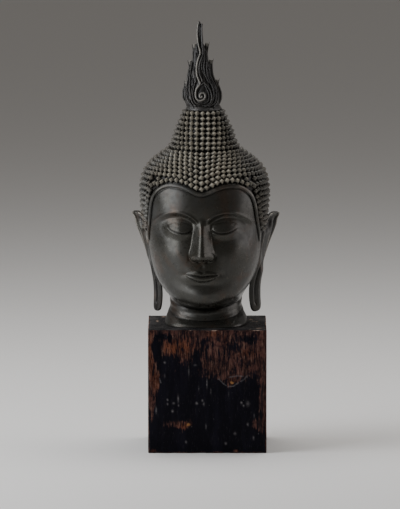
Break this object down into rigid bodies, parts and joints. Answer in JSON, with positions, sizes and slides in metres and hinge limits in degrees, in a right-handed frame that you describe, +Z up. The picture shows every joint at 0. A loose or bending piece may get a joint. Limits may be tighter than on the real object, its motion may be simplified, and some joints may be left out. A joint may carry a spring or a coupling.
{
  "type": "buddha head on block",
  "caption": "Cast bronze buddha head with rows of pointed curls, long ears and a flame finial, standing on its own square lacquered wood block.",
  "frame": {"origin": "middle of the block's underside", "axes": "+Z up, the face looks along -Y, +X to the right of someone who looks at the face"},
  "size_m": [0.2031, 0.2138, 0.6035],
  "materials": {
    "lacquered_wood": "worn black over red lacquer, satin",
    "patinated_bronze": "dark olive-grey patina, satin",
    "finial_bronze": "dark grey patina, dusty satin"
  },
  "bodies": {
    "root": {"plinth_block": "lacquered_wood", "bronze_head": "patinated_bronze", "flame_finial": "finial_bronze"}
  },
  "joints": []
}
